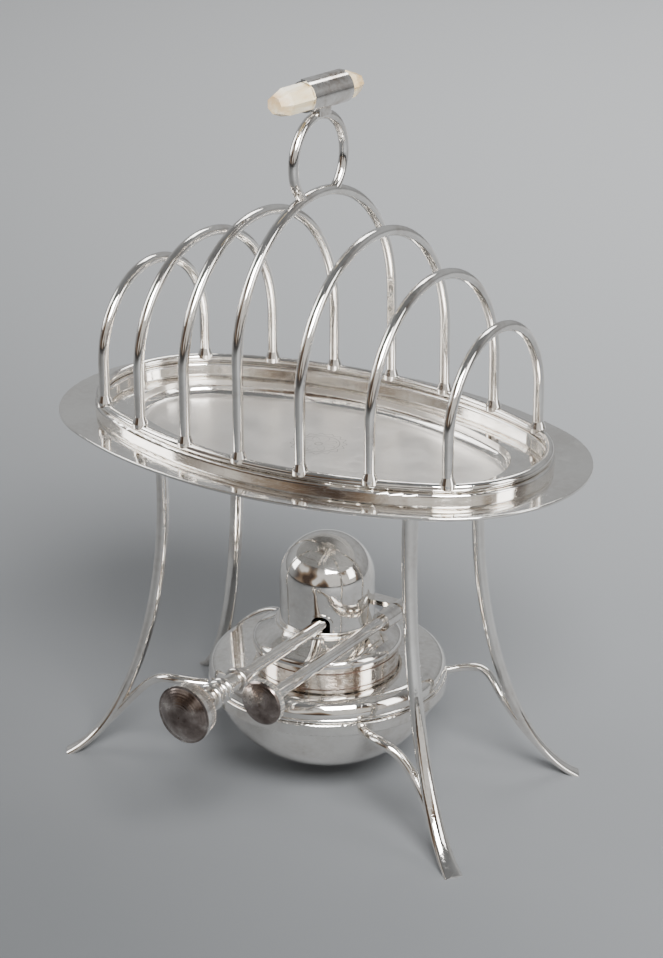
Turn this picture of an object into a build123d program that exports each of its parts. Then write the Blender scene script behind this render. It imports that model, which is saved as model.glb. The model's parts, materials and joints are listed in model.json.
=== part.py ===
from build123d import *
import math
import os

# Toast rack on a warming stand, in millimetres.
# The origin is on the table, under the middle of the dish. +Z is up, +X is along the dish,
# and the two control knobs of the spirit burner point towards -Y.

# ---------------------------------------------------------------- driving dimensions

# toast rack
hoop_pitch = 24.0  # slice spacing, centre to centre
hoop_rises = [83.2, 72.3, 61.1, 47.2]  # middle hoop first, above the base wire's top
hoop_wire = 3.8
base_end_margin = 16.5  # from the outermost hoop to the end of the base wire
base_width = 98.0
base_end_radius = 37.0
base_wire = 3.2
solder_flare = 0.9
solder_height = 2.4

# carrying handle
loop_wire = 3.6
loop_outer = 35.0
loop_rise = 27.1  # top of the loop above the middle hoop's crown
loop_offset = 1.4  # the loop stands off the rack's middle, along its hoop
pad_length = 7.0
pad_width = 4.6
pad_corner = 0.8
sleeve_outer = 11.0
sleeve_wall = 0.5
sleeve_length = 20.0
sleeve_sink = 0.5  # how far the sleeve sinks into the pad
seam_width = 2.6
seam_height = 0.45
grip_front = 15.0  # bone showing in front of the sleeve
grip_back = 8.0  # and behind it
grip_flats = 7
grip_end_taper = 4.6
grip_end_share = 0.64
grip_turn = 7.0  # degrees, the sleeve is soldered on slightly askew
grip_x = 1.0
grip_y = 2.6

# dish
dish_height = 133.6  # table to the dish's flat rim
dish_sheet = 1.2
dish_ledge = 15.2  # rim outside the base wire
rim_rounding = 0.42
well_inset = 11.5  # flat ledge inside the base wire, along the sides
well_end_inset = 13.5  # and at the ends
well_depth = 5.2
well_corner = 3.9
seat_width = 3.8
seat_height = 2.8
seat_rounding = 1.2

# legs
leg_inset_x = 22.6  # leg tops, in from the end and the side of the well
leg_inset_y = 13.1
foot_spread_x = 30.8  # feet, out from the leg tops
foot_spread_y = 20.4
knee_share = -0.20  # the leg first runs back under the dish by this share of its spread
knee_drop = 0.37
ankle_share = 0.21
ankle_drop = 0.90
leg_top_width = 6.4
leg_top_depth = 4.4
shin_share = 0.72  # place of the leg's narrowest section along it
shin_width = 5.6
shin_depth = 3.8
leg_foot_width = 7.0
leg_foot_depth = 2.8
toe_sink = 0.4  # the leg's line ends this far under the sole's plane

# struts and burner ring
strut_width = 3.8
strut_depth = 3.0
strut_root_height = 7.0
strut_ring_angle = 40.0
strut_along_leg = 42.0  # pull of the strut's curve towards the leg's line
strut_off_ring = 24.0  # and towards the ring's radius
strut_lift = 4.0
strut_bite = 0.9  # how far the strut is let into the ring's outside
strut_fall = 3.0  # strut's end below the ring's seat
ring_seat_height = 38.4
ring_depth = 4.8
ring_section = 2.0
ring_rounding = 0.6

# reservoir
burner_x = 2.4  # the ring hangs a little off the dish's middle
burner_y = 1.6
bowl_radius = 41.8
bowl_drop = 32.6
bowl_wall = 1.0
bowl_base_radius = 13.0
bowl_base_sink = 0.9  # the round bottom is flattened by this much
bead_height = 2.0
bead_reach = 2.2
shoulder_rise = 5.8
shoulder_edge = 4.6
neck_bore = 20.3
neck_skirt_wall = 2.6
neck_flange_radius = 26.3
neck_height = 2.8
neck_skirt = 3.4

# burner head
washer_thickness = 0.6
plug_flange = 1.2
plug_skirt = 5.6
plug_skirt_wall = 2.0
plug_column_radius = 10.0
saucer_radius = 27.6
saucer_rise = 7.4
saucer_wall = 1.0
saucer_rim_gap = 0.4
saucer_rim = 0.8
saucer_bend_out = 0.74  # the saucer's bend, as shares of its breadth and rise
saucer_bend_up = 0.48
collar_radius = 19.0
collar_height = 1.9
collar_step = 1.3
tube_outer = 11.8
tube_wall = 0.6
tube_rise = 16.5  # above the collar
tube_drop = 8.0  # below the plug's flange
wick_gap = 0.5  # between the wick and the inside of its tube
wick_show = 2.0
wick_length = 66.0
wick_rounding = 1.2

# wick winder
winder_offset = 1.6  # spindle, outside the wick tube's wall
rod_height = 3.5  # both rods above the collar's top
rod_diameter = 4.5
spindle_diameter = 2.4
wheel_teeth = 9
wheel_thickness = 2.4
wheel_notch = 0.5
winder_reach = 102.0
block_front = 9.0
block_back = 5.0
block_side = 3.7
block_top = 3.4
block_hug = 2.4  # how far the block reaches round the wick tube
spindle_collar_diameter = 4.4
spindle_collar_length = 1.6

# winder ferrule, from the rod towards the knob
ferrule_lip = 0.4
ferrule_cone = 5.0
ferrule_wide = 9.2
ferrule_round = 1.8
ferrule_barrel = 6.6
ferrule_barrel_length = 6.2
ferrule_bead = 2.4
ferrule_bead_rise = 1.2
ferrule_neck = 6.8
ferrule_neck_length = 2.0
ferrule_ring_rise = 1.5
ferrule_tail = 3.8

# winder knob, from its hub to its face
knob_hub = 2.4
knob_hub_flare = 2.2
knob_flange_diameter = 18.6
knob_flange = 2.8
knob_groove = 1.2
knob_groove_depth = 1.0
knob_face_diameter = 20.6
knob_disc = 2.0
knob_rim = 0.7
knob_dome = 3.0
knob_teeth = 60
knob_tooth = 0.32

# snuffer
snuffer_offset = 5.5  # hinge rod, outside the collar
dome_radius = 17.5
dome_wall = 1.0
dome_straight = 14.5
notch_lip = 0.8
notch_lip_rise = 0.4
arm_y = 9.0
arm_length = 5.0
arm_wall = 0.9
arm_plate = 1.8
arm_plate_rise = 0.5  # underside of the arm's plate above the rod's middle
barrel_y = -2.0
barrel_length = 9.0
barrel_wall = 1.25
lug_height = 1.8
lug_reach = 0.2
snuffer_reach = 79.5
snuffer_knob_diameter = 16.0
snuffer_knob_hub = 0.8
snuffer_knob_back = 1.2
snuffer_knob_band = 2.4
snuffer_knob_edge = 0.6
snuffer_knob_dome = 1.2
snuffer_knob_teeth = 30
snuffer_knob_tooth = 0.5

# clearances
rack_seat_gap = 0.1
lift_gap = 0.4  # bowl inside its ring
thread_gap = 0.3
slide_gap = 0.3
turning_gap = 0.1
grip_gap = 0.05
swing_gap = 0.9  # winder rod inside the snuffer's notch

# ---------------------------------------------------------------- worked out from them

half_hoops = len(hoop_rises) - 1
base_half_length = half_hoops * hoop_pitch + base_end_margin
base_half_width = base_width / 2

seat_top = dish_height + seat_height
base_wire_z = seat_top + rack_seat_gap + base_wire / 2
base_top = base_wire_z + base_wire / 2
hoop_crown = base_top + hoop_rises[0]
loop_top = hoop_crown + loop_rise
sleeve_z = loop_top + sleeve_outer / 2 + sleeve_sink
dish_underside = dish_height - dish_sheet
leg_top_x = base_half_length - well_inset - leg_inset_x
leg_top_y = base_half_width - well_inset - leg_inset_y

bead_bottom = ring_seat_height
bead_top = bead_bottom + bead_height
bead_radius = bowl_radius + bead_reach
shoulder_top = bead_top + shoulder_rise
neck_top = shoulder_top + neck_height
plug_seat = neck_top + washer_thickness
plug_top = plug_seat + plug_flange
saucer_rim_z = plug_top + saucer_rim_gap
saucer_top = saucer_rim_z + saucer_rise + saucer_wall
collar_top = saucer_top + collar_height
rod_z = collar_top + rod_height
rod_radius = rod_diameter / 2
tube_radius = tube_outer / 2
wick_radius = tube_radius - tube_wall - wick_gap
winder_x = tube_radius + winder_offset
snuffer_x = collar_radius + snuffer_offset
wick_top = collar_top + tube_rise + wick_show
wheel_radius = winder_x - wick_radius - slide_gap
dome_bottom = collar_top + turning_gap
far = 2 * (sleeve_z + base_half_length)  # longer than anything it has to cut through

burner_place = Location((burner_x, burner_y, 0))
grip_place = Location((grip_x, grip_y, 0), (0, 0, -grip_turn))

os.makedirs("parts", exist_ok=True)


def save(builder, name, place=Location()):
    """Label a finished piece, put it in its place and write it as its own file."""
    piece = builder.part.moved(place)
    piece.label = name
    export_step(piece, f"parts/{name}.step")


def measure_oval(half_length, half_width, end_radius):
    """A four-arc oval's end centre, side radius, side centre and the angle where they join."""
    end_x = half_length - end_radius
    side_radius = (end_x**2 + half_width**2 - end_radius**2) / (2 * (half_width - end_radius))
    side_y = half_width - side_radius
    return end_x, side_radius, side_y, math.atan2(-side_y, end_x)


def draw_oval(half_length, half_width, end_radius):
    """Draw a four-arc oval in the open BuildLine."""
    end_x, side_radius, side_y, angle = measure_oval(half_length, half_width, end_radius)
    join_x = end_x + end_radius * math.cos(angle)
    join_y = end_radius * math.sin(angle)
    ThreePointArc((-join_x, join_y), (0, half_width), (join_x, join_y))
    ThreePointArc((join_x, join_y), (half_length, 0), (join_x, -join_y))
    ThreePointArc((join_x, -join_y), (0, -half_width), (-join_x, -join_y))
    ThreePointArc((-join_x, -join_y), (-half_length, 0), (-join_x, join_y))


def draw_base_oval(grow):
    """Draw the base wire's oval, moved outwards by grow."""
    draw_oval(base_half_length + grow, base_half_width + grow, base_end_radius + grow)


def draw_well_oval(grow):
    """Draw the well's oval, moved outwards by grow."""
    draw_oval(
        base_half_length - well_end_inset + grow,
        base_half_width - well_inset + grow,
        base_end_radius - well_inset + grow,
    )


def base_half_width_at(x):
    """Half the width of the base's oval at a place along it."""
    end_x, side_radius, side_y, angle = measure_oval(
        base_half_length, base_half_width, base_end_radius
    )
    if abs(x) <= end_x + base_end_radius * math.cos(angle):
        return math.sqrt(side_radius**2 - x**2) + side_y
    return math.sqrt(base_end_radius**2 - (abs(x) - end_x) ** 2)


def meet_circles(y_a, z_a, radius_a, y_b, z_b, radius_b):
    """The two points, in the YZ plane, where two circles cross."""
    apart = math.hypot(y_b - y_a, z_b - z_a)
    along = (radius_a**2 - radius_b**2 + apart**2) / (2 * apart)
    aside = math.sqrt(radius_a**2 - along**2)
    step_y, step_z = (y_b - y_a) / apart, (z_b - z_a) / apart
    foot_y, foot_z = y_a + along * step_y, z_a + along * step_z
    points = [
        (0, foot_y + turn * aside * step_z, foot_z - turn * aside * step_y) for turn in (-1, 1)
    ]
    return sorted(points, key=lambda point: point[1])


def share_at_height(curve, height):
    """How far along a falling curve it comes down to a height."""
    high, low = 0.0, 1.0
    for _ in range(30):
        middle = (high + low) / 2
        if (curve @ middle).Z > height:
            high = middle
        else:
            low = middle
    return low


def draw_cap(edge_y, edge_radius, rise, axis_z):
    """Draw a knob's domed face from its edge to its axis, in a sketch on the YZ plane."""
    sphere = (edge_radius**2 + rise**2) / (2 * rise)
    half = math.asin(edge_radius / sphere) / 2
    face_y = edge_y - rise
    ThreePointArc(
        (edge_y, axis_z + edge_radius),
        (face_y + sphere * (1 - math.cos(half)), axis_z + sphere * math.sin(half)),
        (face_y, axis_z),
    )


def draw_bead(start_y, radius, width, rise, axis_z):
    """Draw a turned bead along -Y, in a sketch on the YZ plane, and return where it ends."""
    ThreePointArc(
        (start_y, axis_z + radius),
        (start_y - width / 2, axis_z + radius + rise),
        (start_y - width, axis_z + radius),
    )
    return start_y - width


# ---------------------------------------------------------------- dish

with BuildPart() as well_hollow:
    with BuildSketch(Plane.XY.offset(dish_height)):
        with BuildLine():
            draw_well_oval(0)
        make_face()
    extrude(amount=-well_depth)
    fillet(well_hollow.faces().sort_by(Axis.Z)[0].edges(), well_corner)

with BuildPart() as dish_pan:
    with BuildSketch(Plane.XY.offset(dish_height)):
        with BuildLine():
            draw_well_oval(dish_sheet)
        make_face()
    extrude(amount=-well_depth - dish_sheet)
    fillet(dish_pan.faces().sort_by(Axis.Z)[0].edges(), well_corner + dish_sheet)

with BuildPart() as dish:
    with BuildSketch(Plane.XY.offset(dish_underside)):
        with BuildLine():
            draw_base_oval(dish_ledge)
        make_face()
    extrude(amount=dish_sheet)
    fillet(dish.edges().group_by(Axis.Z)[0], rim_rounding)
    fillet(dish.edges().group_by(Axis.Z)[-1], rim_rounding)
    add(dish_pan.part)
    add(well_hollow.part, mode=Mode.SUBTRACT)
save(dish, "dish")

with BuildPart() as rack_seat:
    with BuildSketch(Plane.XY.offset(dish_height)):
        with BuildLine():
            draw_base_oval(seat_width / 2)
        make_face()
        with BuildLine():
            draw_base_oval(-seat_width / 2)
        make_face(mode=Mode.SUBTRACT)
    extrude(amount=seat_height)
    fillet(rack_seat.edges().group_by(Axis.Z)[-1], seat_rounding)
save(rack_seat, "rack_seat")

# ---------------------------------------------------------------- toast rack

with BuildPart() as rack_base:
    with BuildLine(Plane.XY.offset(base_wire_z)) as base_path:
        draw_base_oval(0)
    with BuildSketch(Plane(origin=(0, base_half_width, base_wire_z), z_dir=(1, 0, 0))):
        Circle(base_wire / 2)
    sweep(path=base_path.wires()[0])
save(rack_base, "rack_base")

hoops = []
for index in range(-half_hoops, half_hoops + 1):
    hoop_x = index * hoop_pitch
    foot = base_half_width_at(hoop_x)
    crown = base_top + hoop_rises[abs(index)] - hoop_wire / 2
    spring = crown - foot
    with BuildPart() as hoop:
        with BuildLine() as hoop_path:
            Line((hoop_x, -foot, base_wire_z), (hoop_x, -foot, spring))
            ThreePointArc((hoop_x, -foot, spring), (hoop_x, 0, crown), (hoop_x, foot, spring))
            Line((hoop_x, foot, spring), (hoop_x, foot, base_wire_z))
        with BuildSketch(Plane((hoop_x, -foot, base_wire_z))):
            Circle(hoop_wire / 2)
        sweep(path=hoop_path.wires()[0])
        with Locations((hoop_x, -foot, base_top), (hoop_x, foot, base_top)):
            Cone(
                hoop_wire / 2 + solder_flare,
                hoop_wire / 2,
                solder_height,
                align=(Align.CENTER, Align.CENTER, Align.MIN),
            )
            Cylinder(
                hoop_wire / 2 + solder_flare,
                base_wire / 2,
                align=(Align.CENTER, Align.CENTER, Align.MAX),
            )
        add(rack_base.part, mode=Mode.SUBTRACT)
        split(bisect_by=Plane.XY.offset(base_wire_z), keep=Keep.TOP)
    save(hoop, f"hoop_{index + half_hoops + 1}")
    hoops.append(hoop.part)

# ---------------------------------------------------------------- carrying handle

loop_radius = (loop_outer - loop_wire) / 2
loop_z = loop_top - loop_outer / 2
middle_hoop_z = hoop_crown - hoop_wire / 2 - base_half_width
loop_ends = meet_circles(loop_offset, loop_z, loop_radius, 0, middle_hoop_z, base_half_width)

with BuildPart() as whole_loop:
    with BuildLine() as loop_path:
        ThreePointArc(loop_ends[0], (0, loop_offset, loop_z + loop_radius), loop_ends[1])
    with BuildSketch(Plane(origin=loop_path.wires()[0] @ 0, z_dir=loop_path.wires()[0] % 0)):
        Circle(loop_wire / 2)
    sweep(path=loop_path.wires()[0])
    add(hoops[half_hoops], mode=Mode.SUBTRACT)

with BuildPart() as handle_loop:
    add(whole_loop.part.solids().sort_by(SortBy.VOLUME)[-1])
save(handle_loop, "handle_loop")

with BuildPart() as sleeve_blank:
    with BuildSketch(Plane.XZ.offset(-sleeve_length / 2)):
        with Locations((0, sleeve_z)):
            Circle(sleeve_outer / 2)
    extrude(amount=sleeve_length)

with BuildPart() as grip_sleeve:
    add(sleeve_blank.part)
    with BuildSketch(Plane.XZ.offset(-sleeve_length / 2)):
        with Locations((0, sleeve_z + sleeve_outer / 2 + (seam_height - sleeve_wall) / 2)):
            Rectangle(seam_width, seam_height + sleeve_wall)
    extrude(amount=sleeve_length)
    with BuildSketch(Plane.XZ.offset(-sleeve_length / 2)):
        with Locations((0, sleeve_z)):
            Circle(sleeve_outer / 2 - sleeve_wall)
    extrude(amount=sleeve_length, mode=Mode.SUBTRACT)
save(grip_sleeve, "grip_sleeve", grip_place)

with BuildPart() as handle_pad:
    with BuildSketch(Plane.XY.offset(loop_top - loop_wire / 2)):
        with Locations((grip_x / 2, (grip_y + loop_offset) / 2)):
            RectangleRounded(pad_width, pad_length, pad_corner)
    extrude(amount=sleeve_sink + loop_wire)
    add(handle_loop.part, mode=Mode.SUBTRACT)
    add(sleeve_blank.part.moved(grip_place), mode=Mode.SUBTRACT)
save(handle_pad, "handle_pad")

grip_radius = sleeve_outer / 2 - sleeve_wall - grip_gap
grip_low = -sleeve_length / 2 - grip_front
grip_high = sleeve_length / 2 + grip_back
with BuildPart() as grip_rod:
    for place, share in (
        (grip_low, grip_end_share),
        (grip_low + grip_end_taper, 1.0),
        (grip_high - grip_end_taper, 1.0),
        (grip_high, grip_end_share),
    ):
        with BuildSketch(Plane.XZ.offset(-place)):
            with Locations((0, sleeve_z)):
                RegularPolygon(grip_radius * share, grip_flats)
    loft(ruled=True)
save(grip_rod, "grip_rod", grip_place)

# ---------------------------------------------------------------- legs, struts, burner ring

ring_outer = bowl_radius + lift_gap + ring_section
with BuildPart() as burner_ring:
    with BuildSketch(Plane.XZ):
        with Locations((ring_outer - ring_section / 2, ring_seat_height - ring_depth / 2)):
            RectangleRounded(ring_section, ring_depth, ring_rounding)
    revolve(axis=Axis.Z)
save(burner_ring, "burner_ring", burner_place)

corners = {
    "front_left": (-1, -1),
    "front_right": (1, -1),
    "back_right": (1, 1),
    "back_left": (-1, 1),
}
leg_sections = (
    (0.0, leg_top_width, leg_top_depth),
    (shin_share, shin_width, shin_depth),
    (1.0, leg_foot_width, leg_foot_depth),
)
ring_angle = math.radians(strut_ring_angle)
for corner, (side, end) in corners.items():
    top = Vector(side * leg_top_x, end * leg_top_y, dish_underside)
    spread = Vector(side * foot_spread_x, end * foot_spread_y, 0)
    toe = top + spread - Vector(0, 0, dish_underside + toe_sink)
    knee = top + spread * knee_share - Vector(0, 0, knee_drop * dish_underside)
    ankle = top + spread * ankle_share - Vector(0, 0, ankle_drop * dish_underside)
    across = spread.cross(Vector(0, 0, 1)).normalized()
    with BuildPart() as whole_leg:
        with BuildLine() as leg_path:
            Bezier(top, knee, ankle, toe)
        leg_curve = leg_path.edges()[0]
        for share, width, depth in leg_sections:
            with BuildSketch(
                Plane(origin=leg_curve @ share, x_dir=across, z_dir=leg_curve % share)
            ):
                Ellipse(width / 2, depth / 2)
        sweep(path=leg_curve, multisection=True)
        split(bisect_by=Plane.XY, keep=Keep.TOP)
        add(dish_pan.part, mode=Mode.SUBTRACT)
        add(dish.part, mode=Mode.SUBTRACT)
    with BuildPart() as leg:
        add(whole_leg.part.solids().sort_by(SortBy.VOLUME)[-1])
    save(leg, f"leg_{corner}")

    root_share = share_at_height(leg_curve, strut_root_height)
    root = leg_curve @ root_share
    outwards = Vector(side * math.cos(ring_angle), end * math.sin(ring_angle), 0)
    tip = Vector(burner_x, burner_y, ring_seat_height - strut_fall) + outwards * (
        ring_outer + strut_depth / 2 - strut_bite
    )
    up_leg = (leg_curve % root_share) * -strut_along_leg
    off_ring = outwards * strut_off_ring + Vector(0, 0, strut_lift)
    with BuildPart() as whole_strut:
        with BuildLine() as strut_path:
            Bezier(root, root + up_leg, tip + off_ring, tip)
        strut_curve = strut_path.edges()[0]
        with BuildSketch(Plane(origin=strut_curve @ 0, x_dir=across, z_dir=strut_curve % 0)):
            Ellipse(strut_width / 2, strut_depth / 2)
        sweep(path=strut_curve)
        add(leg.part, mode=Mode.SUBTRACT)
        add(burner_ring.part.moved(burner_place), mode=Mode.SUBTRACT)
    with BuildPart() as strut:
        add(whole_strut.part.solids().sort_by(SortBy.VOLUME)[-1])
    save(strut, f"strut_{corner}")

# ---------------------------------------------------------------- reservoir

bowl_bottom = bead_bottom - bowl_drop
with BuildPart() as reservoir_bowl:
    with BuildSketch(Plane.XZ):
        with Locations((0, bead_bottom)):
            Ellipse(bowl_radius, bowl_drop + bowl_base_sink)
            Ellipse(
                bowl_radius - bowl_wall,
                bowl_drop + bowl_base_sink - bowl_wall,
                mode=Mode.SUBTRACT,
            )
            Rectangle(far, far, align=(Align.CENTER, Align.MIN), mode=Mode.SUBTRACT)
        with Locations((0, bowl_bottom)):
            Rectangle(bowl_base_radius, bowl_wall, align=(Align.MIN, Align.MIN))
            Rectangle(far, far, align=(Align.CENTER, Align.MAX), mode=Mode.SUBTRACT)
        with Locations((bowl_radius - bowl_wall, bead_bottom)):
            Rectangle(bead_reach / 2 + bowl_wall, bead_height, align=(Align.MIN, Align.MIN))
        with Locations((bowl_radius + bead_reach / 2, bead_bottom + bead_height / 2)):
            Ellipse(bead_reach / 2, bead_height / 2)
        Rectangle(far, far, align=(Align.MAX, Align.CENTER), mode=Mode.SUBTRACT)
    revolve(axis=Axis.Z)
save(reservoir_bowl, "reservoir_bowl", burner_place)

edge_centre = bead_radius - shoulder_edge
neck_outer = neck_bore + neck_skirt_wall
with BuildPart() as reservoir_shoulder:
    with BuildSketch(Plane.XZ):
        with Locations((edge_centre, bead_top)):
            Ellipse(shoulder_edge, shoulder_rise)
        with Locations((0, bead_top)):
            Rectangle(edge_centre, shoulder_rise, align=(Align.MIN, Align.MIN))
        with Locations((edge_centre, bead_top)):
            Ellipse(
                shoulder_edge - bowl_wall, shoulder_rise - bowl_wall, mode=Mode.SUBTRACT
            )
        with Locations((0, bead_top)):
            Rectangle(
                edge_centre,
                shoulder_rise - bowl_wall,
                align=(Align.MIN, Align.MIN),
                mode=Mode.SUBTRACT,
            )
            Rectangle(far, far, align=(Align.CENTER, Align.MAX), mode=Mode.SUBTRACT)
            Rectangle(
                neck_outer, far, align=(Align.MIN, Align.CENTER), mode=Mode.SUBTRACT
            )
    revolve(axis=Axis.Z)
save(reservoir_shoulder, "reservoir_shoulder", burner_place)

skirt_bottom = shoulder_top - bowl_wall - neck_skirt
with BuildPart() as reservoir_neck:
    with BuildSketch(Plane.XZ):
        with Locations((neck_bore, skirt_bottom)):
            Rectangle(
                neck_skirt_wall, shoulder_top - skirt_bottom, align=(Align.MIN, Align.MIN)
            )
        with Locations((neck_bore, shoulder_top)):
            Rectangle(
                neck_flange_radius - neck_bore, neck_height, align=(Align.MIN, Align.MIN)
            )
    revolve(axis=Axis.Z)
save(reservoir_neck, "reservoir_neck", burner_place)

# ---------------------------------------------------------------- burner head

with BuildPart() as head_washer:
    with BuildSketch(Plane.XY.offset(neck_top)):
        Circle(neck_flange_radius)
        Circle(neck_bore, mode=Mode.SUBTRACT)
    extrude(amount=washer_thickness)
save(head_washer, "head_washer", burner_place)

plug_radius = neck_bore - thread_gap
with BuildPart() as head_plug:
    with BuildSketch(Plane.XY.offset(plug_seat - plug_skirt)):
        Circle(plug_radius)
        Circle(plug_radius - plug_skirt_wall, mode=Mode.SUBTRACT)
    extrude(amount=plug_skirt)
    with BuildSketch(Plane.XY.offset(plug_seat)):
        Circle(neck_flange_radius)
    extrude(amount=plug_flange)
    with BuildSketch(Plane.XY.offset(plug_top)):
        Circle(plug_column_radius)
    extrude(amount=saucer_top - saucer_wall - plug_top)
    with BuildSketch(Plane.XY.offset(plug_seat - plug_skirt)):
        Circle(tube_radius)
    extrude(amount=far, mode=Mode.SUBTRACT)
save(head_plug, "head_plug", burner_place)

flat_edge = collar_radius + saucer_wall / 2
bend_x = flat_edge + saucer_bend_out * (saucer_radius - flat_edge)
bend_z = saucer_rim_z + saucer_bend_up * (saucer_top - saucer_rim_z)
rim_inner = saucer_radius - saucer_wall
rim_top = saucer_rim_z + saucer_rim
inner_top = saucer_top - saucer_wall
with BuildPart() as head_saucer:
    with BuildSketch(Plane.XZ):
        with BuildLine():
            Line((tube_radius, inner_top), (tube_radius, saucer_top))
            Line((tube_radius, saucer_top), (flat_edge, saucer_top))
            Spline(
                (flat_edge, saucer_top),
                (bend_x, bend_z),
                (saucer_radius, rim_top),
                tangents=((1, -1), (0, -1)),
            )
            Line((saucer_radius, rim_top), (saucer_radius, saucer_rim_z))
            Line((saucer_radius, saucer_rim_z), (rim_inner, saucer_rim_z))
            Line((rim_inner, saucer_rim_z), (rim_inner, rim_top))
            Spline(
                (rim_inner, rim_top),
                (bend_x - saucer_wall, bend_z - saucer_wall / 2),
                (flat_edge - saucer_wall / 2, inner_top),
                tangents=((0, 1), (-1, 1)),
            )
            Line((flat_edge - saucer_wall / 2, inner_top), (tube_radius, inner_top))
        make_face()
    revolve(axis=Axis.Z)
save(head_saucer, "head_saucer", burner_place)

step_radius = collar_radius - collar_step
with BuildPart() as head_collar:
    for level, radius in enumerate((collar_radius, step_radius)):
        with BuildSketch(Plane.XZ) as ring_profile:
            with Locations((tube_radius, saucer_top + level * collar_height / 2)):
                Rectangle(radius - tube_radius, collar_height / 2, align=(Align.MIN, Align.MIN))
            fillet(ring_profile.vertices().group_by(Axis.X)[-1], collar_height / 5)
        revolve(axis=Axis.Z)
save(head_collar, "head_collar", burner_place)

wheel_half = wheel_thickness / 2 + turning_gap
with BuildPart() as wheel_room:
    with BuildSketch(Plane.XZ.offset(-wheel_half)):
        with Locations((winder_x, rod_z)):
            Circle(wheel_radius + slide_gap)
    extrude(amount=2 * wheel_half)

with BuildPart() as wick_tube:
    with BuildSketch(Plane.XY.offset(plug_seat - tube_drop)):
        Circle(tube_radius)
        Circle(tube_radius - tube_wall, mode=Mode.SUBTRACT)
    extrude(amount=collar_top + tube_rise - plug_seat + tube_drop)
    add(wheel_room.part, mode=Mode.SUBTRACT)
save(wick_tube, "wick_tube", burner_place)

with BuildPart() as winder_block:
    with BuildSketch(Plane.XY.offset(collar_top)):
        with Locations((tube_radius - block_hug, (block_back - block_front) / 2)):
            Rectangle(
                block_hug + winder_offset + block_side,
                block_front + block_back,
                align=(Align.MIN, Align.CENTER),
            )
        Circle(tube_radius, mode=Mode.SUBTRACT)
    extrude(amount=rod_height + block_top)
    with BuildSketch(Plane.XZ.offset(-block_back)):
        with Locations((winder_x, rod_z)):
            Circle(spindle_diameter / 2 + turning_gap)
    extrude(amount=block_front + block_back, mode=Mode.SUBTRACT)
    add(wheel_room.part, mode=Mode.SUBTRACT)
save(winder_block, "winder_block", burner_place)

barrel_radius = rod_radius + turning_gap + barrel_wall
with BuildPart() as whole_bearing:
    with BuildSketch(Plane.XZ.offset(-barrel_y - barrel_length)):
        with Locations((snuffer_x, rod_z)):
            Circle(barrel_radius)
        with BuildLine():
            Polyline(
                (step_radius, collar_top - lug_height),
                (snuffer_x, rod_z - barrel_radius),
                (snuffer_x - barrel_radius, rod_z),
                (step_radius, collar_top - lug_reach),
                close=True,
            )
        make_face()
        with Locations((snuffer_x, rod_z)):
            Circle(rod_radius + turning_gap, mode=Mode.SUBTRACT)
    extrude(amount=barrel_length)
    add(head_collar.part, mode=Mode.SUBTRACT)
    add(head_saucer.part, mode=Mode.SUBTRACT)
with BuildPart() as snuffer_bearing:
    add(whole_bearing.part.solids().sort_by(SortBy.VOLUME)[-1])
save(snuffer_bearing, "snuffer_bearing", burner_place)

with BuildPart() as wick:
    with BuildSketch(Plane.XY.offset(wick_top)):
        Circle(wick_radius)
    extrude(amount=-wick_length)
    fillet(wick.edges().group_by(Axis.Z)[-1], wick_rounding)
save(wick, "wick", burner_place)

# ---------------------------------------------------------------- wick winder

with BuildPart() as winder_wheel:
    with BuildSketch(Plane.XZ.offset(-wheel_thickness / 2)):
        with Locations((winder_x, rod_z)):
            Circle(wheel_radius)
            Circle(spindle_diameter / 2, mode=Mode.SUBTRACT)
            with PolarLocations(wheel_radius, wheel_teeth):
                Circle(wheel_notch, mode=Mode.SUBTRACT)
    extrude(amount=wheel_thickness)
save(winder_wheel, "winder_wheel", burner_place)

knob_length = knob_hub + knob_hub_flare + knob_flange + knob_groove + knob_disc + knob_dome
knob_back = winder_reach - knob_length
with BuildPart() as winder_rod:
    with BuildSketch(Plane.XZ.offset(block_front + turning_gap)):
        with Locations((winder_x, rod_z)):
            Circle(rod_radius)
    extrude(amount=knob_back - block_front - turning_gap)
    with BuildSketch(Plane.XZ.offset(-block_back - turning_gap - spindle_collar_length)):
        with Locations((winder_x, rod_z)):
            Circle(spindle_diameter / 2)
    extrude(amount=block_front + block_back + 2 * turning_gap + spindle_collar_length)
save(winder_rod, "winder_rod", burner_place)

with BuildPart() as spindle_collar:
    with BuildSketch(Plane.XZ.offset(-block_back - turning_gap - spindle_collar_length)):
        with Locations((winder_x, rod_z)):
            Circle(spindle_collar_diameter / 2)
            Circle(spindle_diameter / 2, mode=Mode.SUBTRACT)
    extrude(amount=spindle_collar_length)
save(spindle_collar, "spindle_collar", burner_place)

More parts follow.
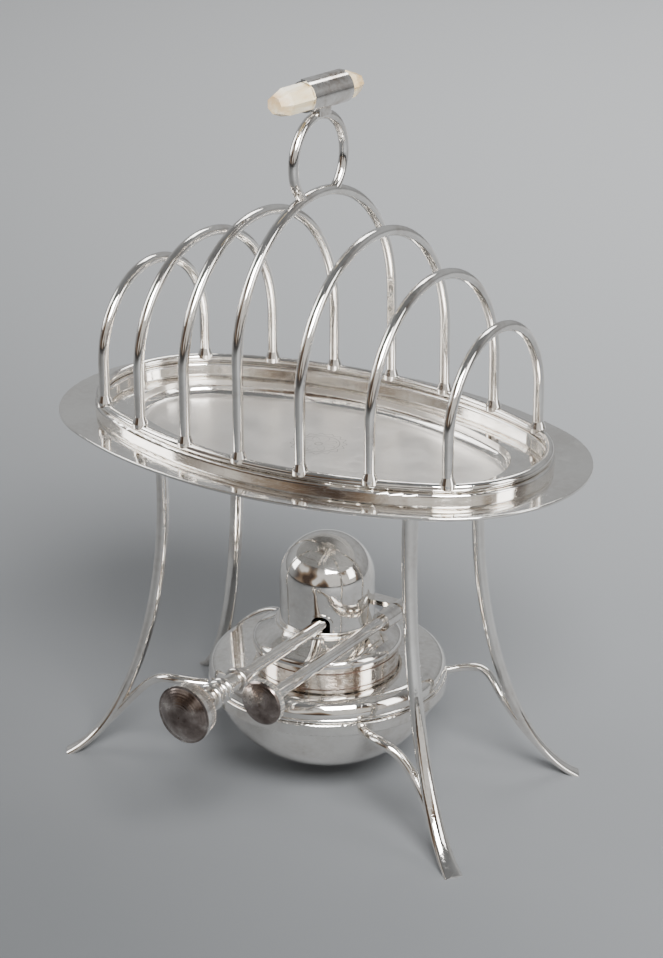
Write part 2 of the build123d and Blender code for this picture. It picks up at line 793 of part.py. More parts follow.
winder_axis = Axis((winder_x, 0, rod_z), (0, 1, 0))
lip_radius = rod_radius + ferrule_lip
shoulder_radius = ferrule_wide / 2 - ferrule_round / 2
barrel_end_radius = ferrule_barrel / 2
neck_radius = ferrule_neck / 2
with BuildPart() as winder_ferrule:
    with BuildSketch(Plane.YZ.offset(winder_x)):
        with BuildLine():
            place = -knob_back + ferrule_tail + 2 * ferrule_bead + ferrule_neck_length
            place += ferrule_bead + ferrule_barrel_length + ferrule_round + ferrule_cone
            back = place
            Line((back, rod_z + rod_radius), (back, rod_z + lip_radius))
            Line((back, rod_z + lip_radius), (back - ferrule_cone, rod_z + shoulder_radius))
            place = draw_bead(
                back - ferrule_cone, shoulder_radius, ferrule_round, ferrule_round / 2, rod_z
            )
            Line((place, rod_z + shoulder_radius), (place, rod_z + barrel_end_radius))
            Line(
                (place, rod_z + barrel_end_radius),
                (place - ferrule_barrel_length, rod_z + barrel_end_radius),
            )
            place = draw_bead(
                place - ferrule_barrel_length,
                barrel_end_radius,
                ferrule_bead,
                ferrule_bead_rise,
                rod_z,
            )
            place = draw_bead(place, barrel_end_radius, ferrule_bead, ferrule_bead_rise, rod_z)
            Line((place, rod_z + barrel_end_radius), (place, rod_z + neck_radius))
            Line(
                (place, rod_z + neck_radius), (place - ferrule_neck_length, rod_z + neck_radius)
            )
            place = draw_bead(
                place - ferrule_neck_length, neck_radius, ferrule_bead, ferrule_ring_rise, rod_z
            )
            Line((place, rod_z + neck_radius), (-knob_back, rod_z + neck_radius))
            Line((-knob_back, rod_z + neck_radius), (-knob_back, rod_z + rod_radius))
            Line((-knob_back, rod_z + rod_radius), (back, rod_z + rod_radius))
        make_face()
    revolve(axis=winder_axis)
save(winder_ferrule, "winder_ferrule", burner_place)

flange_radius = knob_flange_diameter / 2
disc_radius = knob_face_diameter / 2
flange_back = -knob_back - knob_hub - knob_hub_flare
flange_front = flange_back - knob_flange
disc_back = flange_front - knob_groove
disc_front = disc_back - knob_disc
with BuildPart() as winder_knob:
    with BuildSketch(Plane.YZ.offset(winder_x)):
        with BuildLine():
            Polyline(
                (-knob_back, rod_z),
                (-knob_back, rod_z + neck_radius),
                (-knob_back - knob_hub, rod_z + neck_radius),
                (flange_back, rod_z + flange_radius),
                (flange_front, rod_z + flange_radius),
                (flange_front, rod_z + flange_radius - knob_groove_depth),
                (disc_back, rod_z + flange_radius - knob_groove_depth),
                (disc_back, rod_z + disc_radius),
                (disc_front, rod_z + disc_radius),
                (disc_front, rod_z + disc_radius - knob_rim),
            )
            draw_cap(disc_front, disc_radius - knob_rim, knob_dome, rod_z)
            Line((disc_front - knob_dome, rod_z), (-knob_back, rod_z))
        make_face()
    revolve(axis=winder_axis)
    with BuildSketch(Plane.XZ.offset(-flange_back)):
        with Locations((winder_x, rod_z)):
            with PolarLocations(flange_radius, knob_teeth):
                Circle(knob_tooth)
    extrude(amount=knob_flange, mode=Mode.SUBTRACT)
save(winder_knob, "winder_knob", burner_place)

# ---------------------------------------------------------------- snuffer

notch_radius = rod_radius + swing_gap
with BuildPart() as notch_edge:
    with BuildSketch(Plane.XZ) as shell_profile:
        with Locations((dome_radius - dome_wall / 2, dome_bottom)):
            Rectangle(
                dome_wall / 2 + notch_lip_rise, dome_straight, align=(Align.MIN, Align.MIN)
            )
    revolve(axis=Axis.Z)
    with BuildSketch(Plane.XZ):
        with Locations((winder_x, rod_z)):
            Circle(notch_radius + notch_lip)
            Rectangle(
                2 * (notch_radius + notch_lip), far, align=(Align.CENTER, Align.MAX)
            )
    extrude(amount=far, mode=Mode.INTERSECT)

with BuildPart() as snuffer_dome:
    with BuildSketch(Plane.XZ):
        for radius, mode in ((dome_radius, Mode.ADD), (dome_radius - dome_wall, Mode.SUBTRACT)):
            with Locations((0, dome_bottom + dome_straight)):
                Circle(radius, mode=mode)
            with Locations((0, dome_bottom)):
                Rectangle(2 * radius, dome_straight, align=(Align.CENTER, Align.MIN), mode=mode)
        with Locations((0, dome_bottom)):
            Rectangle(far, far, align=(Align.CENTER, Align.MAX), mode=Mode.SUBTRACT)
            Rectangle(far, far, align=(Align.MAX, Align.CENTER), mode=Mode.SUBTRACT)
    revolve(axis=Axis.Z)
    add(notch_edge.part)
    with BuildSketch(Plane.XZ):
        with Locations((winder_x, rod_z)):
            Circle(notch_radius)
            Rectangle(2 * notch_radius, far, align=(Align.CENTER, Align.MAX))
    extrude(amount=far, mode=Mode.SUBTRACT)
save(snuffer_dome, "snuffer_dome", burner_place)

snuffer_band_back = (
    snuffer_reach - snuffer_knob_back - snuffer_knob_band - snuffer_knob_edge - snuffer_knob_dome
)
with BuildPart() as snuffer_rod:
    with BuildSketch(Plane.XZ.offset(-arm_y - arm_length)):
        with Locations((snuffer_x, rod_z)):
            Circle(rod_radius)
    extrude(amount=arm_y + arm_length + snuffer_band_back)
save(snuffer_rod, "snuffer_rod", burner_place)

arm_top = rod_z + arm_plate_rise + arm_plate
with BuildPart() as snuffer_arm:
    with BuildSketch(Plane.XZ.offset(-arm_y - arm_length)):
        with Locations((snuffer_x, rod_z)):
            Circle(rod_radius + arm_wall)
    extrude(amount=arm_length)
    with BuildSketch(Plane.XY.offset(arm_top)):
        with BuildLine():
            Polyline(
                (snuffer_x, arm_y),
                (snuffer_x, arm_y + arm_length),
                (dome_radius / 2, arm_y + arm_length),
                (dome_radius / 2, arm_y - arm_wall),
                close=True,
            )
        make_face()
    extrude(amount=-arm_plate)
    with BuildSketch(Plane.XZ.offset(-arm_y - arm_length)):
        with Locations((snuffer_x, rod_z)):
            Circle(rod_radius)
    extrude(amount=arm_length, mode=Mode.SUBTRACT)
    with BuildSketch(Plane.XY.offset(dome_bottom)):
        Circle(dome_radius)
    extrude(amount=dome_straight, mode=Mode.SUBTRACT)
save(snuffer_arm, "snuffer_arm", burner_place)

snuffer_knob_radius = snuffer_knob_diameter / 2
band_back = -snuffer_band_back - snuffer_knob_back
band_front = band_back - snuffer_knob_band
edge_front = band_front - snuffer_knob_edge
with BuildPart() as snuffer_knob:
    with BuildSketch(Plane.YZ.offset(snuffer_x)):
        with BuildLine():
            Polyline(
                (-snuffer_band_back, rod_z),
                (-snuffer_band_back, rod_z + rod_radius + snuffer_knob_hub),
                (band_back, rod_z + snuffer_knob_radius),
                (band_front, rod_z + snuffer_knob_radius),
                (edge_front, rod_z + snuffer_knob_radius - snuffer_knob_edge),
            )
            draw_cap(
                edge_front, snuffer_knob_radius - snuffer_knob_edge, snuffer_knob_dome, rod_z
            )
            Line((edge_front - snuffer_knob_dome, rod_z), (-snuffer_band_back, rod_z))
        make_face()
    revolve(axis=Axis((snuffer_x, 0, rod_z), (0, 1, 0)))
    with BuildSketch(Plane.XZ.offset(-band_back)):
        with Locations((snuffer_x, rod_z)):
            with PolarLocations(snuffer_knob_radius, snuffer_knob_teeth):
                Circle(snuffer_knob_tooth)
    extrude(amount=snuffer_knob_band, mode=Mode.SUBTRACT)
save(snuffer_knob, "snuffer_knob", burner_place)
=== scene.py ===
import bpy
import json
import math
from mathutils import Matrix, Vector


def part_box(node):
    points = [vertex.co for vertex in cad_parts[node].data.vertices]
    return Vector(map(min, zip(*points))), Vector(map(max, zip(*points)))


# Looks of the toast rack on its warming stand: polished silver plate with tarnish, a satin well,
# an engraved rosette, a bone grip and a woven cotton wick.
# Everything is in metres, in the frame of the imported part.

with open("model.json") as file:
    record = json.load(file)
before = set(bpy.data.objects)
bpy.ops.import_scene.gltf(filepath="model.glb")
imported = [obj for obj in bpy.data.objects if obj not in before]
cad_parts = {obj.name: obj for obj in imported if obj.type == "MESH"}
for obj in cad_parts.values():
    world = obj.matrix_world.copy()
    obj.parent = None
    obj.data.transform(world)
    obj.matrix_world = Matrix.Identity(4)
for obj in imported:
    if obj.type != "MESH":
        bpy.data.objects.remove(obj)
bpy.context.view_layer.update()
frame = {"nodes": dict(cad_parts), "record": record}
nodes = frame["nodes"]

# ------------------------------------------------------------------ sizes

DISH_LOW, DISH_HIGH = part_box("dish")
DISH_SHEET = 0.0012
WELL_FLOOR = DISH_LOW.z + DISH_SHEET
DISH_MIDDLE = (DISH_LOW + DISH_HIGH) / 2
GRIP_LOW, GRIP_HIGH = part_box("grip_rod")
GRIP_MIDDLE = (GRIP_LOW + GRIP_HIGH) / 2
GRIP_HALF = (GRIP_HIGH.y - GRIP_LOW.y) / 2
ROSETTE_RADIUS = 0.0095
ENGRAVED_LINE = 0.00022

CAMERA_AZIMUTH = 33.43
CAMERA_ELEVATION = 22.32
CAMERA_ROLL = -0.23
CAMERA_DISTANCE = 0.9197
CAMERA_LENS = 95.35
CAMERA_TARGET = Vector((0.0, 0.00831, 0.11186))
SENSOR_WIDTH = 36.0

# Level directions: away from the camera, and across its view to the right.
TURN = math.radians(CAMERA_AZIMUTH)
AWAY = Vector((-math.sin(TURN), math.cos(TURN), 0))
ACROSS = Vector((AWAY.y, -AWAY.x, 0))


def srgb(red, green, blue):
    """A colour given in 0-255 display values, as linear light."""
    linear = []
    for value in (red, green, blue):
        share = value / 255
        linear.append(share / 12.92 if share <= 0.04045 else ((share + 0.055) / 1.055) ** 2.4)
    return (*linear, 1.0)


# ------------------------------------------------------------------ camera and lights


def set_up_camera():
    elevation = math.radians(CAMERA_ELEVATION)
    back = -AWAY * math.cos(elevation)
    back.z = math.sin(elevation)
    data = bpy.data.cameras.new("camera")
    data.lens = CAMERA_LENS
    data.sensor_width = SENSOR_WIDTH
    data.clip_start, data.clip_end = 0.05, 60.0
    camera = bpy.data.objects.new("camera", data)
    bpy.context.scene.collection.objects.link(camera)
    camera.rotation_mode = "QUATERNION"
    camera.location = CAMERA_TARGET + back * CAMERA_DISTANCE
    turn = (-back).to_track_quat("-Z", "Y").to_matrix()
    roll = Matrix.Rotation(math.radians(CAMERA_ROLL), 3, "Z")
    camera.rotation_quaternion = (turn @ roll).to_quaternion()
    bpy.context.scene.camera = camera


# Name, place, width, height and power. Each faces the middle of the object.
SOFTBOXES = (
    ("key softbox", (0.78, -0.76, 1.1), 0.7, 0.6, 56),
    ("back softbox", (-0.3, 0.9, 1.3), 0.8, 0.5, 8),
    ("left softbox", (-1.3, -0.5, 0.9), 0.6, 1.0, 10),
    ("right softbox", (1.5, 0.2, 0.8), 0.5, 1.0, 9),
)
LIT_POINT = Vector((0, 0, 0.1))


def add_softbox(name, place, width, height, power):
    data = bpy.data.lights.new(name, "AREA")
    data.shape = "RECTANGLE"
    data.size, data.size_y = width, height
    data.energy = power
    light = bpy.data.objects.new(name, data)
    bpy.context.scene.collection.objects.link(light)
    light.location = place
    light.rotation_mode = "QUATERNION"
    light.rotation_quaternion = (LIT_POINT - Vector(place)).to_track_quat("-Z", "Y")


# ------------------------------------------------------------------ node helpers


def new_material(name):
    material = bpy.data.materials.new(name)
    material.use_nodes = True
    return material, material.node_tree, material.node_tree.nodes["Principled BSDF"]


def calc(tree, operation, first, second=None, third=None):
    """One Math node. Each value is a socket or a number."""
    node = tree.nodes.new("ShaderNodeMath")
    node.operation = operation
    for index, value in enumerate((first, second, third)):
        if value is None:
            continue
        if isinstance(value, (int, float)):
            node.inputs[index].default_value = value
        else:
            tree.links.new(value, node.inputs[index])
    return node.outputs[0]


def along(tree, vector, direction):
    node = tree.nodes.new("ShaderNodeVectorMath")
    node.operation = "DOT_PRODUCT"
    tree.links.new(vector, node.inputs[0])
    node.inputs[1].default_value = direction
    return node.outputs["Value"]


def length_of(tree, first, second):
    """The length of a flat vector with these two parts."""
    square = calc(tree, "MULTIPLY", second, second)
    return calc(tree, "SQRT", calc(tree, "MULTIPLY_ADD", first, first, square))


def object_place(tree):
    """The Object coordinates and their three parts."""
    coordinate = tree.nodes.new("ShaderNodeTexCoord").outputs["Object"]
    split = tree.nodes.new("ShaderNodeSeparateXYZ")
    tree.links.new(coordinate, split.inputs[0])
    return coordinate, *split.outputs


def add_range(tree, source, low, high, from_low=0.0, from_high=1.0, smooth=False):
    spread = tree.nodes.new("ShaderNodeMapRange")
    spread.interpolation_type = "SMOOTHSTEP" if smooth else "LINEAR"
    spread.inputs["From Min"].default_value = from_low
    spread.inputs["From Max"].default_value = from_high
    spread.inputs["To Min"].default_value = low
    spread.inputs["To Max"].default_value = high
    tree.links.new(source, spread.inputs["Value"])
    return spread.outputs["Result"]


def add_ramp(tree, source, stops):
    ramp = tree.nodes.new("ShaderNodeValToRGB")
    elements = ramp.color_ramp.elements
    elements[0].position, elements[0].color = stops[0]
    elements[1].position, elements[1].color = stops[-1]
    for position, colour in stops[1:-1]:
        elements.new(position).color = colour
    tree.links.new(source, ramp.inputs["Fac"])
    return ramp.outputs["Color"]


def add_mix(tree, share, first, second):
    """first where share is 0 and second where it is 1. Each is a socket or a colour."""
    node = tree.nodes.new("ShaderNodeMix")
    node.data_type = "RGBA"
    tree.links.new(share, node.inputs["Factor"])
    for name, value in (("A", first), ("B", second)):
        socket = next(i for i in node.inputs if i.name == name and i.type == "RGBA")
        if isinstance(value, tuple):
            socket.default_value = value
        else:
            tree.links.new(value, socket)
    return next(o for o in node.outputs if o.type == "RGBA")


def add_noise(tree, scale, detail=3.0, rough=0.5, stretch=(1, 1, 1)):
    """Noise on Object coordinates; stretch squeezes it along an axis."""
    coordinate = tree.nodes.new("ShaderNodeTexCoord")
    mapping = tree.nodes.new("ShaderNodeMapping")
    mapping.inputs["Scale"].default_value = stretch
    noise = tree.nodes.new("ShaderNodeTexNoise")
    noise.inputs["Scale"].default_value = scale
    noise.inputs["Detail"].default_value = detail
    noise.inputs["Roughness"].default_value = rough
    tree.links.new(coordinate.outputs["Object"], mapping.inputs["Vector"])
    tree.links.new(mapping.outputs["Vector"], noise.inputs["Vector"])
    return noise.outputs["Fac"]


def add_bump(tree, shader, height, strength, distance):
    bump = tree.nodes.new("ShaderNodeBump")
    bump.inputs["Strength"].default_value = strength
    bump.inputs["Distance"].default_value = distance
    tree.links.new(height, bump.inputs["Height"])
    tree.links.new(bump.outputs["Normal"], shader.inputs["Normal"])


def thin_line(tree, value, target, half_width):
    """1 where value is within half_width of target, fading to 0."""
    off = calc(tree, "ABSOLUTE", calc(tree, "SUBTRACT", value, target))
    return add_range(tree, off, 1.0, 0.0, half_width * 0.4, half_width, smooth=True)


# ------------------------------------------------------------------ floor and surroundings

FLOOR_SIZE = 24.0
FLOOR_NEAR, FLOOR_FAR = -0.5, 1.5  # the floor's tones run between these, away from the camera
# The floor's tones are painted light: the paper grows lighter away from the camera, as the light
# falls on it.
FLOOR_PAINTED_LIGHT_TONES = ((-0.5, 104), (-0.14, 100), (0.137, 123), (0.54, 163), (1.4, 218))
FLOOR_PAINTED_LIGHT_SLOPE = 1.5  # how fast the painted light on the floor grows from left to right
FLOOR_STAND_OFF = 0.85  # that slope fans out from this far in front of the object
FLOOR_LEAST_REACH = 0.5
FLOOR_LEAST_GAIN, FLOOR_MOST_GAIN = 0.7, 1.3


def cool(level):
    """A slightly cool grey."""
    return srgb(level - 2, level, level + 2)


def set_up_floor():
    """Plain paper with painted light: lighter towards the back and the right, where more light
    falls.
    """
    bpy.ops.object.select_all(action="DESELECT")
    bpy.ops.mesh.primitive_plane_add(size=FLOOR_SIZE, location=(0, 0, 0))
    floor = bpy.context.object
    floor.name = "floor"
    material, tree, shader = new_material("backdrop paper with painted light")
    coordinate = tree.nodes.new("ShaderNodeTexCoord").outputs["Object"]
    depth = along(tree, coordinate, AWAY)
    side = along(tree, coordinate, ACROSS)
    # Painted light: the tone ramp and the side gain make the paper lighter towards the back and
    # the right.
    length = FLOOR_FAR - FLOOR_NEAR
    stops = [((place - FLOOR_NEAR) / length, cool(level)) for place, level in FLOOR_PAINTED_LIGHT_TONES]
    tone = add_ramp(tree, add_range(tree, depth, 0.0, 1.0, FLOOR_NEAR, FLOOR_FAR), stops)
    reach = calc(tree, "ADD", depth, FLOOR_STAND_OFF)
    reach = calc(tree, "MAXIMUM", reach, FLOOR_LEAST_REACH)
    slope = calc(tree, "MULTIPLY", calc(tree, "DIVIDE", side, reach), FLOOR_PAINTED_LIGHT_SLOPE)
    painted_light_gain = calc(tree, "MAXIMUM", calc(tree, "ADD", slope, 1.0), FLOOR_LEAST_GAIN)
    painted_light_gain = calc(tree, "MINIMUM", painted_light_gain, FLOOR_MOST_GAIN)
    scale = tree.nodes.new("ShaderNodeVectorMath")
    scale.operation = "SCALE"
    tree.links.new(tone, scale.inputs[0])
    tree.links.new(painted_light_gain, scale.inputs["Scale"])
    tree.links.new(scale.outputs["Vector"], shader.inputs["Base Color"])
    shader.inputs["Roughness"].default_value = 0.8
    shader.inputs["Specular IOR Level"].default_value = 0.2
    floor.data.materials.append(material)


# Tones by the sine of the elevation, behind the object and on the camera's side.
BEHIND_TONES = ((0.0, 150), (0.3, 172), (0.5, 170), (0.7, 140), (1.0, 120))
NEAR_TONES = ((0.0, 92), (0.3, 84), (0.55, 100), (0.75, 110), (1.0, 120))
ROOM_TONES = (
    (0.40, srgb(70, 56, 46)),
    (0.47, srgb(128, 108, 90)),
    (0.53, srgb(166, 154, 140)),
    (0.58, srgb(236, 234, 230)),
)
ROOM_PATCH = 1.7
ROOM_SHARE = 0.85  # of the camera's side, below the lights


def set_up_world():
    """Grey paper behind the object, and a warm, patchy room on the camera's side."""
    world = bpy.data.worlds.new("studio")
    bpy.context.scene.world = world
    world.use_nodes = True
    tree = world.node_tree
    tree.nodes.clear()
    out = tree.nodes.new("ShaderNodeOutputWorld")
    background = tree.nodes.new("ShaderNodeBackground")
    background.inputs["Strength"].default_value = 1.0
    direction = tree.nodes.new("ShaderNodeTexCoord").outputs["Generated"]
    height = along(tree, direction, (0, 0, 1))
    behind = add_range(tree, along(tree, direction, AWAY), 0.0, 1.0, -0.35, 0.3, smooth=True)
    near_tone = add_ramp(tree, height, [(z, cool(level)) for z, level in NEAR_TONES])
    patches = tree.nodes.new("ShaderNodeTexNoise")
    patches.inputs["Scale"].default_value = ROOM_PATCH
    patches.inputs["Detail"].default_value = 1.0
    tree.links.new(direction, patches.inputs["Vector"])
    room = add_ramp(tree, patches.outputs["Fac"], ROOM_TONES)
    near_tone = add_mix(tree, add_range(tree, height, ROOM_SHARE, 0.0, 0.5, 0.8), near_tone, room)
    behind_tone = add_ramp(tree, height, [(z, cool(level)) for z, level in BEHIND_TONES])
    tree.links.new(add_mix(tree, behind, near_tone, behind_tone), background.inputs["Color"])
    tree.links.new(background.outputs[0], out.inputs["Surface"])


# ------------------------------------------------------------------ materials


def blend_colour(first, second, share):
    return tuple(a + (b - a) * share for a, b in zip(first, second))


CLEAN = srgb(248, 245, 240)
BROWN = srgb(146, 118, 92)
RELIEF = 0.0004  # depth of a full step of bump on silver, bone and cotton
FINE_RELIEF = 0.0003
PETALS = 8
BORDER_WAVES = 16
TURNING_MARK_PITCH = 0.0009
STRAND_PITCH = 0.0016
WINDER_FACE = 0.0032  # depth of each knob's domed face
SNUFFER_FACE = 0.0016
FACE_EDGE = 0.0005


def silver_colour(tree, tarnish, patch=60.0):
    """Warm patches of tarnish, with finer flecks in them."""
    cloud = add_noise(tree, patch, 4.0, 0.6)
    fleck = add_noise(tree, 520.0, 3.0, 0.6)
    tone = calc(tree, "MULTIPLY_ADD", calc(tree, "SUBTRACT", fleck, 0.5), 0.45, cloud)
    return add_ramp(
        tree,
        tone,
        [
            (0.26, blend_colour(CLEAN, BROWN, tarnish)),
            (0.44, blend_colour(CLEAN, BROWN, tarnish * 0.35)),
            (0.62, CLEAN),
        ],
    )


def scratches(tree, stretch, scale):
    """Hair lines: the contour of a noise that is drawn out along one axis."""
    return thin_line(tree, add_noise(tree, scale, 1.0, 0.3, stretch), 0.5, 0.012)


def finish_silver(tree, shader, colour, rough_low, rough_high, scratch):
    """Patches of haze with hair scratches in them, over a slight ripple."""
    shader.inputs["Metallic"].default_value = 1.0
    tree.links.new(colour, shader.inputs["Base Color"])
    cloud = add_noise(tree, 130.0, 5.0, 0.65)
    lengthwise = scratches(tree, (0.1, 1, 1), 310.0)
    hair = calc(tree, "MAXIMUM", scratches(tree, (1, 0.12, 1), 240.0), lengthwise)
    haze = add_range(tree, cloud, rough_low, rough_high, 0.35, 0.65)
    roughness = calc(tree, "MULTIPLY_ADD", hair, scratch, haze)
    tree.links.new(roughness, shader.inputs["Roughness"])
    wave = add_noise(tree, 85.0, 2.0, 0.4)
    height = calc(tree, "MULTIPLY_ADD", hair, -scratch, wave)
    add_bump(tree, shader, height, 0.06, RELIEF)


def make_silver(name, tarnish, rough_low, rough_high, scratch):
    material, tree, shader = new_material(name)
    finish_silver(tree, shader, silver_colour(tree, tarnish), rough_low, rough_high, scratch)
    return material


def rosette(tree, x, y):
    """A generic engraved rosette: eight petals between two rings, with a wavy border."""
    x = calc(tree, "SUBTRACT", x, DISH_MIDDLE.x)
    y = calc(tree, "SUBTRACT", y, DISH_MIDDLE.y)
    radius = length_of(tree, x, y)
    angle = calc(tree, "ARCTAN2", y, x)
    petal = calc(tree, "ABSOLUTE", calc(tree, "COSINE", calc(tree, "MULTIPLY", angle, PETALS / 2)))
    petal = calc(tree, "MULTIPLY_ADD", petal, ROSETTE_RADIUS * 0.4, ROSETTE_RADIUS * 0.3)
    border = calc(tree, "SINE", calc(tree, "MULTIPLY", angle, float(BORDER_WAVES)))
    border = calc(tree, "MULTIPLY_ADD", border, ROSETTE_RADIUS * 0.07, ROSETTE_RADIUS)
    lines = thin_line(tree, radius, petal, ENGRAVED_LINE)
    for target in (border, ROSETTE_RADIUS * 0.14, ROSETTE_RADIUS * 0.8):
        lines = calc(tree, "MAXIMUM", lines, thin_line(tree, radius, target, ENGRAVED_LINE))
    return lines


def make_dish():
    """Polished rim and wall, satin well floor with fine scratches and the rosette."""
    material, tree, shader = new_material("dish plate")
    _, x, y, z = object_place(tree)
    off_floor = calc(tree, "ABSOLUTE", calc(tree, "SUBTRACT", z, WELL_FLOOR))
    in_well = add_range(tree, off_floor, 1.0, 0.0, 0.0002, 0.0006, smooth=True)
    engraved = calc(tree, "MULTIPLY", rosette(tree, x, y), in_well)
    colour = silver_colour(tree, 0.16, 35.0)
    colour = add_mix(tree, calc(tree, "MULTIPLY", in_well, 0.45), colour, srgb(206, 201, 196))
    colour = add_mix(tree, calc(tree, "MULTIPLY", engraved, 0.6), colour, srgb(110, 98, 86))
    shader.inputs["Metallic"].default_value = 1.0
    tree.links.new(colour, shader.inputs["Base Color"])
    cloud = add_noise(tree, 90.0, 5.0, 0.65)
    lengthwise = scratches(tree, (0.1, 1, 1), 260.0)
    hair = calc(tree, "MAXIMUM", scratches(tree, (1, 0.1, 1), 200.0), lengthwise)
    rough = add_range(tree, cloud, 0.05, 0.13, 0.35, 0.65)
    rough = calc(tree, "MULTIPLY_ADD", in_well, 0.24, rough)
    rough = calc(tree, "MULTIPLY_ADD", hair, 0.07, rough)
    tree.links.new(rough, shader.inputs["Roughness"])
    height = calc(tree, "MULTIPLY_ADD", hair, -0.15, add_noise(tree, 70.0, 2.0, 0.4))
    height = calc(tree, "MULTIPLY_ADD", engraved, -0.6, height)
    add_bump(tree, shader, height, 0.09, RELIEF)
    return material


def make_knob(node_name, face_depth):
    """Polished edge, and a hazy, tarnished face with concentric turning marks."""
    material, tree, shader = new_material(node_name.replace("_", " ") + " plate")
    low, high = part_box(node_name)
    _, x, y, z = object_place(tree)
    x = calc(tree, "SUBTRACT", x, (low.x + high.x) / 2)
    z = calc(tree, "SUBTRACT", z, (low.z + high.z) / 2)
    radius = length_of(tree, x, z)
    edge = low.y + face_depth
    face = add_range(tree, y, 1.0, 0.0, edge, edge + FACE_EDGE, smooth=True)
    rings = calc(tree, "SINE", calc(tree, "MULTIPLY", radius, math.tau / TURNING_MARK_PITCH))
    smear = add_noise(tree, 150.0, 4.0, 0.6)
    dull = add_ramp(
        tree,
        smear,
        [(0.3, srgb(104, 92, 86)), (0.5, srgb(148, 136, 130)), (0.7, srgb(206, 198, 192))],
    )
    colour = add_mix(tree, face, silver_colour(tree, 0.5), dull)
    shader.inputs["Metallic"].default_value = 1.0
    tree.links.new(colour, shader.inputs["Base Color"])
    haze = add_range(tree, smear, 0.06, 0.16, 0.35, 0.65)
    tree.links.new(calc(tree, "MULTIPLY_ADD", face, 0.12, haze), shader.inputs["Roughness"])
    marks = calc(tree, "MULTIPLY", calc(tree, "MULTIPLY", rings, 0.25), face)
    height = calc(tree, "ADD", marks, add_noise(tree, 110.0, 2.0, 0.4))
    add_bump(tree, shader, height, 0.1, RELIEF)
    return material


def make_bone():
    """Cream bone with amber streaks along the grip and staining towards its ends."""
    material, tree, shader = new_material("bone")
    _, _, y, _ = object_place(tree)
    streak = add_noise(tree, 150.0, 5.0, 0.65, (1, 0.12, 1))
    colour = add_ramp(
        tree,
        streak,
        [(0.30, srgb(186, 146, 90)), (0.46, srgb(226, 206, 164)), (0.62, srgb(243, 234, 212))],
    )
    end = calc(tree, "ABSOLUTE", calc(tree, "SUBTRACT", y, GRIP_MIDDLE.y))
    stain = add_range(tree, end, 0.0, 1.0, GRIP_HALF * 0.72, GRIP_HALF)
    patch = add_range(tree, add_noise(tree, 200.0, 4.0, 0.6), 0.1, 0.8, 0.35, 0.65)
    colour = add_mix(tree, calc(tree, "MULTIPLY", stain, patch), colour, srgb(196, 150, 84))
    tree.links.new(colour, shader.inputs["Base Color"])
    rough = add_range(tree, streak, 0.48, 0.26, 0.3, 0.7)
    tree.links.new(rough, shader.inputs["Roughness"])
    shader.inputs["Coat Weight"].default_value = 0.3
    shader.inputs["Coat Roughness"].default_value = 0.15
    add_bump(tree, shader, streak, 0.25, RELIEF)
    return material


def make_cotton():
    """Plaited cotton: two sets of slanting strands."""
    material, tree, shader = new_material("cotton wick")
    _, x, y, z = object_place(tree)
    turns = math.tau / STRAND_PITCH
    rising = calc(tree, "ADD", z, x)
    falling = calc(tree, "SUBTRACT", z, calc(tree, "ADD", x, y))
    one = calc(tree, "SINE", calc(tree, "MULTIPLY", rising, turns))
    two = calc(tree, "SINE", calc(tree, "MULTIPLY", falling, turns))
    weave = calc(tree, "MAXIMUM", one, two)
    burn = add_noise(tree, 320.0, 4.0, 0.6)
    tone = calc(tree, "MULTIPLY_ADD", weave, 0.18, burn)
    colour = add_ramp(
        tree,
        tone,
        [(0.3, srgb(120, 104, 80)), (0.55, srgb(204, 192, 166)), (0.8, srgb(230, 222, 204))],
    )
    tree.links.new(colour, shader.inputs["Base Color"])
    tree.links.new(add_range(tree, burn, 0.82, 0.98), shader.inputs["Roughness"])
    add_bump(tree, shader, weave, 0.6, RELIEF)
    return material


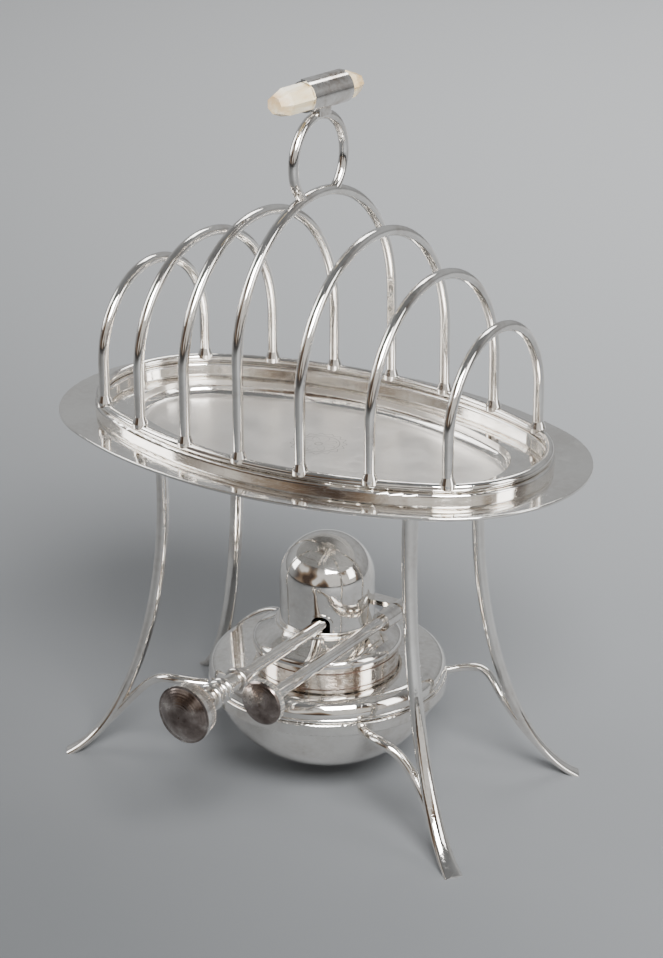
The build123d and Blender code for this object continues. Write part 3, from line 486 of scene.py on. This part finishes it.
def make_brass():
    material, tree, shader = new_material("dull brass")
    cloud = add_noise(tree, 160.0, 5.0, 0.65)
    colour = add_ramp(
        tree,
        cloud,
        [(0.3, srgb(120, 90, 52)), (0.5, srgb(178, 142, 86)), (0.7, srgb(206, 174, 112))],
    )
    tree.links.new(colour, shader.inputs["Base Color"])
    tree.links.new(add_range(tree, cloud, 0.42, 0.22, 0.3, 0.7), shader.inputs["Roughness"])
    shader.inputs["Metallic"].default_value = 1.0
    add_bump(tree, shader, add_noise(tree, 600.0, 3.0, 0.6), 0.12, FINE_RELIEF)
    return material


def make_leather():
    material, tree, shader = new_material("oiled leather")
    grain = add_noise(tree, 900.0, 4.0, 0.6)
    colour = add_ramp(
        tree, grain, [(0.3, srgb(34, 21, 13)), (0.5, srgb(62, 40, 26)), (0.7, srgb(88, 60, 40))]
    )
    tree.links.new(colour, shader.inputs["Base Color"])
    tree.links.new(add_range(tree, grain, 0.7, 0.45, 0.3, 0.7), shader.inputs["Roughness"])
    add_bump(tree, shader, grain, 0.4, FINE_RELIEF)
    return material


def give(node_name, material):
    mesh = nodes[node_name].data
    mesh.materials.clear()
    mesh.materials.append(material)


# ------------------------------------------------------------------ the object

# Pieces with heavier tarnish. On the reservoir neck and head plug, in the gap under the saucer,
# the darker colour is also painted shade.
TARNISH_AND_SHADE_PIECES = (
    "reservoir_neck",
    "head_plug",
    "winder_block",
    "winder_ferrule",
    "handle_pad",
    "grip_sleeve",
)

set_up_camera()
set_up_floor()
set_up_world()
for softbox in SOFTBOXES:
    add_softbox(*softbox)

finishes = {
    "silver_plate": make_silver("silver plate", 0.35, 0.03, 0.10, 0.08),
    "brass": make_brass(),
    "bone": make_bone(),
    "wick": make_cotton(),
    "washer": make_leather(),
}
for part in frame["record"]["subparts"]:
    give(part["node"], finishes[part["material_slot"]])
give("dish", make_dish())
give("winder_knob", make_knob("winder_knob", WINDER_FACE))
give("snuffer_knob", make_knob("snuffer_knob", SNUFFER_FACE))
# Heavier tarnish, which on the neck and head plug also stands in as painted shade.
tarnish_and_shade = make_silver("tarnished plate with painted shade", 0.75, 0.07, 0.18, 0.1)
for node_name in TARNISH_AND_SHADE_PIECES:
    give(node_name, tarnish_and_shade)
